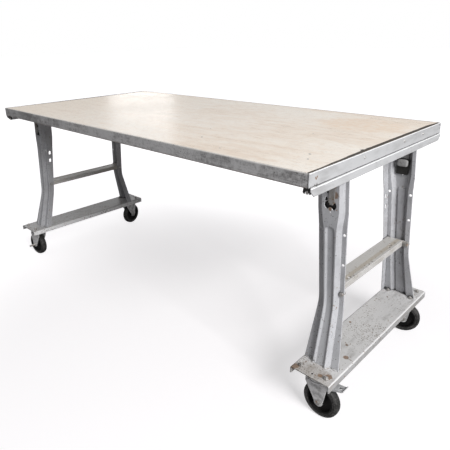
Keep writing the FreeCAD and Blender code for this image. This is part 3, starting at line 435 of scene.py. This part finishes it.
laminateLook = dict(
    colour=(0.88, 0.77, 0.65), pale=(0.94, 0.875, 0.79), tan=(0.70, 0.54, 0.40), warm=(0.80, 0.61, 0.44),
    leftTone=(0.93, 0.80, 0.655), grey=(0.58, 0.54, 0.50), markAndGapShadeColour=(0.035, 0.030, 0.026), rough=0.34, gloss=0.36,
    cloudSize=2.0, mottle=(34.0, 6.0, 0.7), fine=(150.0, 6.0, 0.75), rub=(5.0, 5.0, 0.6), waves=(14.0, 6.0, 0.6),
    grain=dict(Stretch=(1.0, 16.0, 1.0), Scale=3.0), hair=dict(Stretch=(4.0, 90.0, 1.0), Scale=5.0),
    nicks=dict(Scale=120.0, Cover=0.07, Gather=5.0), squeeze=dict(  # across the table, so that marks lie along it
        cloud=(1.0, 2.0, 1.0), fine=(1.0, 1.8, 1.0), warm=(1.0, 1.3, 1.0), nick=(1.0, 1.6, 1.0)),
    stainGrain=0.5, rubGain=0.5, roughByCloud=0.45, roughByHair=0.25, waveHeight=0.8, nickHeight=0.6,
    paleRange=(-0.12, 0.12), leftRange=(0.0, -0.80, 0.0, 0.85), tanRange=(0.50, 0.66, 0.0, 0.45),
    greyRange=(0.50, 0.64, 0.0, 0.45), stainRange=(-0.03, 0.20, 0.0, 0.6), warmRange=(0.35, 0.60, 0.15, 0.85),
    rubRange=(0.33, 0.52), rubShare=0.25, markAndGapShadeShare=0.96, bump=(0.10, 0.002),
    # The joint at each short end is painted black shade of the gap there.
    endAt=0.8925, endWide=0.0125, endSoft=0.0012,  # where the joint at each short end starts, how wide it gets
    frontWidth=(-0.50, -0.05, 0.30, 1.0), backWidth=(0.45, 0.36, 0.35, 1.0), waver=(22.0, 5.0, 0.65), waverWide=0.006,
    sideRange=(0.4435, 0.4455, 0.0, 0.75),
    specks=[((0.382, -0.309, 0.8495), 0.005), ((0.540, -0.389, 0.8495), 0.004), ((0.817, -0.328, 0.8495), 0.004),
            ((0.790, -0.276, 0.8495), 0.005), ((0.300, -0.180, 0.8495), 0.003), ((0.640, -0.020, 0.8495), 0.003)],
    chips=[((0.886, -0.135, 0.8495), 0.014), ((0.889, -0.105, 0.8495), 0.013), ((0.890, -0.165, 0.8495), 0.010)],
    warmPatch=((0.70, 0.30, 0.8495), 0.20, 0.9),  # centre, radius, raggedness
)


def laminate(name, s):
    # Cream sheet: long faint grain, cloudy stains, hair scratches, a few dark nicks, and a black joint at its ends,
    # painted shade of the gap there.
    material, tree, shader, where = newMaterial(name, Roughness=s["rough"])
    lessGloss(shader, s["gloss"])
    kinds = ("cloud", "fine", "warm", "nick")
    flat, finely, warmly, nicked = [stretched(tree, where, s["squeeze"][kind]) for kind in kinds]
    cloud = useGroup(tree, blotches, {"Vector": flat, "Scale": s["cloudSize"]})["Value"]
    mottle = noise(tree, flat, *s["mottle"])
    grain = useGroup(tree, streaks, {"Vector": where, **s["grain"]})["Value"]
    hair = useGroup(tree, streaks, {"Vector": where, **s["hair"]})["Value"]
    along, across = partOf(tree, where, "X"), partOf(tree, where, "Y")
    colour = mixed(tree, ramp(tree, cloud, *s["paleRange"]), s["colour"], s["pale"])
    colour = mixed(tree, ramp(tree, along, *s["leftRange"]), colour, s["leftTone"])
    colour = mixed(tree, ramp(tree, mottle, *s["tanRange"]), colour, s["tan"])
    fine = noise(tree, finely, *s["fine"])
    colour = mixed(tree, ramp(tree, fine, *s["greyRange"]), colour, s["grey"])
    stain = maths(tree, "SUBTRACT", maths(tree, "MULTIPLY", grain, s["stainGrain"]), cloud)
    colour = mixed(tree, ramp(tree, stain, *s["stainRange"]), colour, s["tan"])
    centre, radius, ragged = s["warmPatch"]
    warm = useGroup(tree, spot, {"Vector": warmly, "Centre": centre, "Radius": radius, "Ragged": ragged})["Mask"]
    warm = maths(tree, "MULTIPLY", warm, ramp(tree, mottle, *s["warmRange"]))
    colour = mixed(tree, warm, colour, s["warm"])
    rub = maths(tree, "ADD", hair, maths(tree, "MULTIPLY", noise(tree, flat, *s["rub"]), s["rubGain"]))
    rub = maths(tree, "MULTIPLY", ramp(tree, rub, *s["rubRange"]), s["rubShare"])
    colour = mixed(tree, rub, colour, s["grey"])
    nick = useGroup(tree, speckles, {"Vector": nicked, **s["nicks"]})["Mask"]
    nick = maths(tree, "MAXIMUM", nick, spotsOn(tree, where, s["specks"]))
    # Painted shade of the gap at each short end: a black band laid onto the sheet's end, wider away from the long
    # edges.
    gape = maths(tree, "MULTIPLY", s["endWide"], ramp(tree, across, *s["frontWidth"]))
    gape = maths(tree, "MULTIPLY", gape, ramp(tree, across, *s["backWidth"]))
    reach = maths(tree, "ADD", maths(tree, "ABSOLUTE", along), gape)
    shaky = maths(tree, "MULTIPLY", signedNoise(tree, where, *s["waver"]), s["waverWide"])
    joint = ramp(tree, maths(tree, "ADD", reach, shaky), s["endAt"], s["endAt"] + s["endSoft"])
    sides = ramp(tree, maths(tree, "ABSOLUTE", across), *s["sideRange"])
    gapShadeAndMarks = maths(tree, "MAXIMUM", maths(tree, "MAXIMUM", joint, sides), spotsOn(tree, where, s["chips"]))
    markedAndGapShaded = maths(tree, "MULTIPLY", maths(tree, "MAXIMUM", nick, gapShadeAndMarks), s["markAndGapShadeShare"])
    plug(tree, shader.inputs["Base Color"], mixed(tree, markedAndGapShaded, colour, s["markAndGapShadeColour"]))
    uneven = maths(tree, "ADD", maths(tree, "MULTIPLY", cloud, s["roughByCloud"]),
                   maths(tree, "MULTIPLY", hair, s["roughByHair"]))
    uneven = maths(tree, "ADD", uneven, s["rough"], clamp=True)
    plug(tree, shader.inputs["Roughness"], maths(tree, "MAXIMUM", uneven, gapShadeAndMarks))
    waves = maths(tree, "MULTIPLY", noise(tree, flat, *s["waves"]), s["waveHeight"])
    height = maths(tree, "SUBTRACT", waves, maths(tree, "MULTIPLY", nick, s["nickHeight"]))
    bumped(tree, shader, height, *s["bump"])
    return material


bandLook = dict(
    colour=(0.47, 0.465, 0.47), dark=(0.20, 0.195, 0.195), lip=(0.80, 0.78, 0.75), rust=(0.12, 0.075, 0.045),
    soil=(0.05, 0.048, 0.045), black=(0.02, 0.018, 0.016), rough=0.44, metal=0.08, gloss=0.35, edge=0.0018,
    cloudSize=5.0, grit=(90.0, 6.0, 0.75), grain=dict(Stretch=(1.0, 1.0, 25.0), Scale=10.0), broken=0.6,
    lineGain=0.45, roughByCloud=0.4, lineHeight=0.4, cloudHeight=1.5,
    soilSpots=dict(Scale=260.0, Cover=0.24, Gather=7.0), darkRange=(0.12, -0.22), lipRange=(0.8466, 0.8480),
    lowRange=(0.8145, 0.8105), endRange=(0.8945, 0.8960), jointReach=0.010, lineWaver=0.0016, cloudWaver=0.012,
    lipShare=0.85, rimShare=0.45, rustShare=0.55, soilShare=0.8, jointShare=0.85, bump=(0.3, 0.001),
)


def bandSteel(name, s):
    # Darker rolled steel, brushed along its length, its top lip pale as painted highlight and partly rubbed wear, its
    # foot line stained, and dirt and painted shade black in its joints and at its ends.
    material, tree, shader, where = newMaterial(name, Metallic=s["metal"], Roughness=s["rough"])
    lessGloss(shader, s["gloss"])
    cloud = useGroup(tree, blotches, {"Vector": where, "Scale": s["cloudSize"]})["Value"]
    line = useGroup(tree, streaks, {"Vector": where, **s["grain"]})["Value"]
    worn = useGroup(tree, edges, {"Vector": where, "Radius": s["edge"], "Broken": s["broken"]})
    soil = useGroup(tree, speckles, {"Vector": where, **s["soilSpots"]})["Mask"]
    # Dirt and painted shade where surfaces close in.
    dirtAndShadeInJoints = useGroup(tree, creviceDirtShade, {"Vector": where, "Reach": s["jointReach"]})["Mask"]
    grit = signedNoise(tree, where, *s["grit"])
    tone = maths(tree, "ADD", maths(tree, "ADD", cloud, maths(tree, "MULTIPLY", line, s["lineGain"])), grit)
    colour = mixed(tree, ramp(tree, tone, *s["darkRange"]), s["colour"], s["dark"])
    up = partOf(tree, where, "Z")
    # The pale top lip is painted highlight, partly rubbed wear; the black ends are dirt and painted shade in the
    # seam.
    lip = ramp(tree, maths(tree, "ADD", up, maths(tree, "MULTIPLY", line, s["lineWaver"])), *s["lipRange"])
    low = ramp(tree, maths(tree, "SUBTRACT", up, maths(tree, "MULTIPLY", cloud, s["cloudWaver"])), *s["lowRange"])
    ends = ramp(tree, maths(tree, "ABSOLUTE", partOf(tree, where, "X")), *s["endRange"])
    closed = maths(tree, "MAXIMUM", dirtAndShadeInJoints, ends)
    layers = [(lip, s["lipShare"], s["lip"]), (worn["Mask"], s["rimShare"], s["lip"]),
              (low, s["rustShare"], s["rust"]), (soil, s["soilShare"], s["soil"]),
              (closed, s["jointShare"], s["black"])]
    for mask, share, over in layers:
        colour = mixed(tree, maths(tree, "MULTIPLY", mask, share), colour, over)
    plug(tree, shader.inputs["Base Color"], colour)
    dull = maths(tree, "ADD", maths(tree, "MULTIPLY", cloud, s["roughByCloud"]), s["rough"], clamp=True)
    plug(tree, shader.inputs["Roughness"], dull)
    height = maths(tree, "ADD", maths(tree, "MULTIPLY", line, s["lineHeight"]),
                   maths(tree, "MULTIPLY", cloud, s["cloudHeight"]))
    bumped(tree, shader, height, *s["bump"], Normal=worn["Normal"])
    return material


boardLook = dict(
    deep=(0.16, 0.10, 0.055), pale=(0.36, 0.25, 0.15), patch=(0.06, 0.045, 0.035), rough=0.85,
    squeeze=(1.0, 1.0, 2.5), chipSize=320.0, patches=(9.0, 5.0), patchRange=(0.4, 0.65, 0.0, 0.7), bump=(0.5, 0.001),
)


def boardCore(name, s):
    # Pressed chips: brown cells of uneven tone, with darker patches.
    material, tree, shader, where = newMaterial(name, Roughness=s["rough"])
    cells = addNode(tree, "TexVoronoi", {"Vector": stretched(tree, where, s["squeeze"]), "Scale": s["chipSize"]})
    tone = partOf(tree, cells.outputs["Color"], "X")
    patchy = ramp(tree, noise(tree, where, *s["patches"]), *s["patchRange"])
    colour = mixed(tree, patchy, mixed(tree, tone, s["deep"], s["pale"]), s["patch"])
    plug(tree, shader.inputs["Base Color"], colour)
    bumped(tree, shader, tone, *s["bump"])
    return material


tyreLook = dict(
    colour=(0.010, 0.010, 0.010), dust=(0.105, 0.10, 0.098), nick=(0.16, 0.15, 0.14), rough=0.7, gloss=0.3,
    cloudSize=14.0, grains=(160.0, 5.0, 0.75), dustRange=(0.44, 0.70), dustShare=0.5, nickShare=0.5,
    nicks=dict(Scale=420.0, Cover=0.3, Gather=20.0), roughRange=(0.0, 1.0, 0.5, 0.85), pits=(220.0, 6.0, 0.7),
    bump=(0.35, 0.0012),
)


def tyreRubber(name, s):
    # Near-black rubber with patches of grey dust and pale nicks.
    material, tree, shader, where = newMaterial(name, Roughness=s["rough"])
    lessGloss(shader, s["gloss"])
    cloud = useGroup(tree, blotches, {"Vector": where, "Scale": s["cloudSize"]})["Value"]
    dust = ramp(tree, maths(tree, "ADD", cloud, noise(tree, where, *s["grains"])), *s["dustRange"])
    colour = mixed(tree, maths(tree, "MULTIPLY", dust, s["dustShare"]), s["colour"], s["dust"])
    nick = useGroup(tree, speckles, {"Vector": where, **s["nicks"]})["Mask"]
    colour = mixed(tree, maths(tree, "MULTIPLY", nick, s["nickShare"]), colour, s["nick"])
    plug(tree, shader.inputs["Base Color"], colour)
    plug(tree, shader.inputs["Roughness"], ramp(tree, dust, *s["roughRange"]))
    bumped(tree, shader, noise(tree, where, *s["pits"]), *s["bump"])
    return material


wheelLook = dict(
    colour=(0.004, 0.004, 0.004), pale=(0.012, 0.011, 0.011), rim=(0.14, 0.135, 0.13), rough=0.5, gloss=0.15,
    cloudSize=20.0, cloudRange=(-0.08, 0.14), edge=0.001, broken=0.8, rimShare=0.25,
    roughRange=(-0.1, 0.15, 0.38, 0.7), pits=(300.0, 4.0), bump=(0.2, 0.0008),
)


def wheelPlastic(name, s):
    # Dark moulded centre, a little cloudy, its edges slightly rubbed.
    material, tree, shader, where = newMaterial(name, Roughness=s["rough"])
    lessGloss(shader, s["gloss"])
    cloud = useGroup(tree, blotches, {"Vector": where, "Scale": s["cloudSize"]})["Value"]
    worn = useGroup(tree, edges, {"Vector": where, "Radius": s["edge"], "Broken": s["broken"]})
    colour = mixed(tree, ramp(tree, cloud, *s["cloudRange"]), s["colour"], s["pale"])
    colour = mixed(tree, maths(tree, "MULTIPLY", worn["Mask"], s["rimShare"]), colour, s["rim"])
    plug(tree, shader.inputs["Base Color"], colour)
    plug(tree, shader.inputs["Roughness"], ramp(tree, cloud, *s["roughRange"]))
    bumped(tree, shader, noise(tree, where, *s["pits"]), *s["bump"], Normal=worn["Normal"])
    return material


finishes = {name: paintedSteel(name, {**allSteel, **look}) for name, look in paints.items()}
for name, make, look in (("laminateCream", laminate, laminateLook), ("bandSteel", bandSteel, bandLook),
                         ("boardCore", boardCore, boardLook), ("tyreRubber", tyreRubber, tyreLook),
                         ("wheelPlastic", wheelPlastic, wheelLook)):
    finishes[name] = make(name, look)

finishOfNode = [  # the first pattern that a node's name holds gives its finish
    ("brake_pedal", "railPaint"), ("top_board", "boardCore"), ("top_sheet", "laminateCream"),
    ("front_band", "bandSteel"), ("back_band", "bandSteel"), ("_band", "endBandPaint"), ("_rail", "railPaint"),
    ("leg_", "legPaint"), ("_crossbar", "barPaint"), ("_foot", "footPaint"), ("head_strap", "strapGrey"),
    ("head_bracket", "latchGrey"), ("wing_nuts", "blackSteel"), ("_tyre", "tyreRubber"),
    ("wheel_centre", "wheelPlastic"), ("bolts", "boltZinc"), ("screws", "boltZinc"), ("nuts", "boltZinc"),
    ("_axle", "boltZinc"), ("", "castorZinc"),
]
for name, part in nodes.items():
    finish = next(made for pattern, made in finishOfNode if pattern in name)
    part.data.materials.clear()
    part.data.materials.append(finishes[finish])
print("finishes given")


def gridPiece(name, points, body, finish, closedAlong=False, replaced=(), smooth=35.0):
    # A mesh from a grid of points whose rows are rings: the last ring joins the first, or both ends get a cap.
    rows, columns = points.shape[:2]
    index = np.arange(rows * columns).reshape(rows, columns)
    down = np.roll(index, -1, axis=0) if closedAlong else index[1:]
    keep = index if closedAlong else index[:-1]
    nextKeep, nextDown = np.roll(keep, -1, axis=1), np.roll(down, -1, axis=1)
    faces = np.stack([keep, down, nextDown, nextKeep], axis=-1).reshape(-1, 4).tolist()
    if not closedAlong:
        faces += [index[0].tolist(), index[-1, ::-1].tolist()]
    return addPiece(name, points.reshape(-1, 3), faces, body, finish, replaced, smooth)


def addPiece(name, points, faces, body, finish, replaced, smooth):
    mesh = bpy.data.meshes.new(name)
    mesh.from_pydata(points.tolist(), [], faces)
    shape = bmesh.new()
    shape.from_mesh(mesh)
    bmesh.ops.remove_doubles(shape, verts=shape.verts, dist=1e-6)
    bmesh.ops.recalc_face_normals(shape, faces=shape.faces)
    shape.to_mesh(mesh)
    shape.free()
    mesh.shade_smooth()
    mesh.set_sharp_from_angle(angle=math.radians(smooth))
    mesh.materials.append(finishes[finish])
    piece = bpy.data.objects.new(name, mesh)
    bpy.context.scene.collection.objects.link(piece)
    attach(piece, body)
    if replaced:
        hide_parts(*replaced)
    return piece


tyreShape = dict(
    turns=96, radius=0.0625, halfWidth=0.0158, seat=0.0460, seatHalf=0.0139, shoulder=0.0085,
    ridgeAt=0.0540, ridgeHigh=0.0009, ridgeWide=0.0013, crown=0.0006, bead=0.002, inset=0.0009, dish=0.0011,
    wallSteps=16, shoulderSteps=9, treadSteps=6,
)


def tyreProfile(s):
    # Half section from the seat to the tread's middle as (radius, height): a side wall with one raised ring,
    # a quarter round shoulder and a slightly crowned tread; the other half is its mirror.
    crownAt, wallAt = s["radius"] - s["crown"], s["halfWidth"] - s["inset"]
    wallRadius = np.linspace(s["seat"] + s["bead"], crownAt - s["shoulder"], s["wallSteps"])
    ring = s["ridgeHigh"] * np.exp(-((wallRadius - s["ridgeAt"]) / s["ridgeWide"]) ** 2)
    dish = s["dish"] * np.sin(np.pi * (wallRadius - wallRadius[0]) / (wallRadius[-1] - wallRadius[0]))
    wall = np.stack([wallRadius, wallAt - dish + ring], axis=1)
    turn = np.linspace(0.0, np.pi / 2, s["shoulderSteps"])[1:]
    arc = np.stack([crownAt - s["shoulder"] * (1 - np.sin(turn)),
                    wallAt - s["shoulder"] * (1 - np.cos(turn))], axis=1)
    across = np.linspace(arc[-1, 1], 0.0, s["treadSteps"])[1:]
    tread = np.stack([s["radius"] - s["crown"] * (across / arc[-1, 1]) ** 2, across], axis=1)
    half = np.concatenate([[[s["seat"], s["seatHalf"]]], wall, arc, tread])
    return np.concatenate([half, half[-2::-1] * (1, -1)])


def revolved(profile, centre, axis, turns):
    # Each (radius, height) pair goes round the axis: centre + height x axis + radius x (cos t side + sin t up).
    axis = np.array(axis) / np.linalg.norm(axis)
    side = np.cross(axis, (0.0, 0.0, 1.0))
    side /= np.linalg.norm(side)
    up = np.cross(side, axis)
    t = np.linspace(0.0, 2 * np.pi, turns, endpoint=False)[:, None, None]
    ring = np.cos(t) * side + np.sin(t) * up
    return np.array(centre) + profile[None, :, 1:] * axis + profile[None, :, :1] * ring


joints = {joint["name"]: joint for joint in frame["record"]["behaviour"]["joints"]}
corners = dict(front_left=(-1, -1), back_left=(-1, 1), front_right=(1, -1), back_right=(1, 1))
frameShift = {-1: -0.060, 1: 0.005}  # how far each end's leg frame stands from the middle, across the table
for corner in corners:
    spin = joints["castor_%s_wheel_spin" % corner]
    ring = revolved(tyreProfile(tyreShape), spin["pos_m"], spin["axis"], tyreShape["turns"])
    gridPiece("tyre_" + corner, ring, "castor_%s_wheel" % corner, "tyreRubber", closedAlong=True,
              replaced=["castor_%s_tyre" % corner], smooth=50.0)
print("tyres made")

latch = dict(  # centre, half sizes, roundness
    # The thin black sheet behind each eye is painted shade: it stands for the dark inside seen through the hole.
    shadeSheet=((0.8548, 0.2480, 0.7120), (0.0225, 0.0012, 0.0300), 0.20),
    block=((0.8560, 0.2400, 0.7270), (0.0190, 0.0066, 0.0130), 0.45),
)


def roundedBlock(centre, half, power, steps=28):
    # Superellipsoid: each axis is its half size times a signed cosine or sine product raised to the power.
    lengthwise = np.linspace(0.0, 2 * np.pi, 2 * steps, endpoint=False)[None, :]
    rise = np.linspace(-np.pi / 2, np.pi / 2, steps + 1)[:, None]

    def bent(value):
        return np.sign(value) * np.abs(value) ** power

    ones = np.ones_like(lengthwise)
    x = bent(np.cos(rise)) * bent(np.cos(lengthwise))
    y = bent(np.cos(rise)) * bent(np.sin(lengthwise))
    z = bent(np.sin(rise)) * ones
    return np.array(centre) + np.stack([x, y, z], axis=-1) * np.array(half)


def atCorner(points, corner):
    # The drawing is for the corner at +X, +Y: it is mirrored to its corner and set where that leg frame stands.
    sideX, sideY = corners[corner]
    return points * (sideX, sideY, 1.0) + (0.0, frameShift[sideX], 0.0)


for corner in corners:
    for part, finish in (("shadeSheet", "blackSteel"), ("block", "latchGrey")):
        gridPiece("head_%s_%s" % (part, corner), atCorner(roundedBlock(*latch[part]), corner), "table",
                  finish)

weld = dict(radius=0.0030, ripple=0.16, pitch=0.0034, footTop=0.1762, steps=40, sides=12, squash=0.8,
            endPower=8, thinnest=0.02,
            runs=[((0.9085, 0.3125), (0.9205, 0.2945)), ((0.8655, 0.3125), (0.8535, 0.2945)),
                  ((0.9260, 0.2962), (0.9440, 0.2962)), ((0.8310, 0.2962), (0.8420, 0.2962))])


def weldBead(start, end, s):
    # A tube along a straight run whose radius swells and shrinks with each ripple and closes at both ends.
    share = np.linspace(0.0, 1.0, s["steps"])
    line = np.array(start) + share[:, None] * (np.array(end) - np.array(start))
    long = np.linalg.norm(np.array(end) - np.array(start))
    swell = 1 + s["ripple"] * np.sin(2 * np.pi * share * long / s["pitch"])
    radius = s["radius"] * swell * np.sqrt(np.clip(1 - (2 * share - 1) ** s["endPower"], s["thinnest"], 1.0))
    t = np.linspace(0.0, 2 * np.pi, s["sides"], endpoint=False)
    side = np.array([-(end[1] - start[1]), end[0] - start[0]]) / long
    flat = line[:, None, :] + (radius[:, None] * np.cos(t))[..., None] * side
    high = s["footTop"] + radius[:, None] * np.sin(t) * s["squash"]
    return np.concatenate([flat, high[..., None]], axis=-1)


for corner in corners:
    for k, (start, end) in enumerate(weld["runs"]):
        gridPiece("foot_weld_%s_%d" % (corner, k + 1), atCorner(weldBead(start, end, weld), corner), "table",
                  "footPaint", smooth=60.0)
print("latches and welds made")

stageLook = dict(
    floorSide=60.0, floorSeen=(0.50, 0.49, 0.50), floorBounce=(0.42, 0.415, 0.42), floorWhite=(1.0, 0.99, 1.0),
    floorRough=0.9, floorGloss=0.1, fadeCentre=(0.65, -0.35, 0.0), fadeRange=(0.9, 2.4, 0.57, 1.0),
    ambient=0.14, ambientColour=(0.98, 0.985, 1.0),
)
lamps = dict(
    endWindow=dict(place=(6.2, -1.9, 4.1), aim=(0.5, 0.0, 0.6), size=(3.0, 3.0), power=650.0,
                   colour=(1.0, 0.995, 0.99)),
    highFront=dict(place=(-0.4, -2.9, 3.7), aim=(0.0, 0.0, 0.6), size=(3.4, 1.6), power=8.0,
                   colour=(0.99, 0.99, 1.0)),
    backWindow=dict(place=(-4.5, 3.2, 1.45), aim=(-0.4, 0.1, 0.85), size=(1.0, 1.0), power=8.0,
                    colour=(1.0, 1.0, 1.0)),
)


def addFloor(s):
    half = s["floorSide"] / 2
    mesh = bpy.data.meshes.new("floor")
    mesh.from_pydata([(-half, -half, 0), (half, -half, 0), (half, half, 0), (-half, half, 0)], [], [(0, 1, 2, 3)])
    floor = bpy.data.objects.new("floor", mesh)
    bpy.context.scene.collection.objects.link(floor)
    material, tree, shader, where = newMaterial("floorPale", Roughness=s["floorRough"])
    lessGloss(shader, s["floorGloss"])
    seen = addNode(tree, "LightPath").outputs["Is Camera Ray"]
    plug(tree, shader.inputs["Base Color"], mixed(tree, seen, s["floorBounce"], s["floorSeen"]))
    # Less glow near the table leaves a painted shade around it; further away the floor glows full white.
    glow = ramp(tree, distance(tree, where, s["fadeCentre"]), *s["fadeRange"])  # full white away from the table
    plug(tree, shader.inputs["Emission Color"], s["floorWhite"])
    plug(tree, shader.inputs["Emission Strength"], maths(tree, "MULTIPLY", seen, glow))
    mesh.materials.append(material)


def addWorld(s):
    world = bpy.data.worlds.new("pale")
    world.use_nodes = True
    bpy.context.scene.world = world
    tree = world.node_tree
    tree.nodes.clear()
    path = addNode(tree, "LightPath").outputs
    seen = maths(tree, "MAXIMUM", path["Is Camera Ray"],
                 maths(tree, "MAXIMUM", path["Is Glossy Ray"], path["Is Transmission Ray"]))
    lit = addNode(tree, "Background", {"Color": s["ambientColour"], "Strength": s["ambient"]}).outputs[0]
    white = addNode(tree, "Background", {"Color": (1.0, 1.0, 1.0), "Strength": 1.0}).outputs[0]
    both = addNode(tree, "MixShader", {0: seen, 1: lit, 2: white}).outputs[0]
    tree.links.new(both, addNode(tree, "OutputWorld").inputs[0])


def addLamp(name, s):
    data = bpy.data.lights.new(name, "AREA")
    data.shape = "RECTANGLE"
    data.size, data.size_y = s["size"]
    data.energy = s["power"]
    data.color = s["colour"]
    lamp = bpy.data.objects.new(name, data)
    aim = Vector(s["aim"]) - Vector(s["place"])
    lamp.matrix_world = Matrix.Translation(s["place"]) @ aim.to_track_quat("-Z", "Y").to_matrix().to_4x4()
    bpy.context.scene.collection.objects.link(lamp)


addFloor(stageLook)
addWorld(stageLook)
for name, look in lamps.items():
    addLamp(name, look)
bpy.context.scene.view_settings.view_transform = "Standard"
print("stage set")
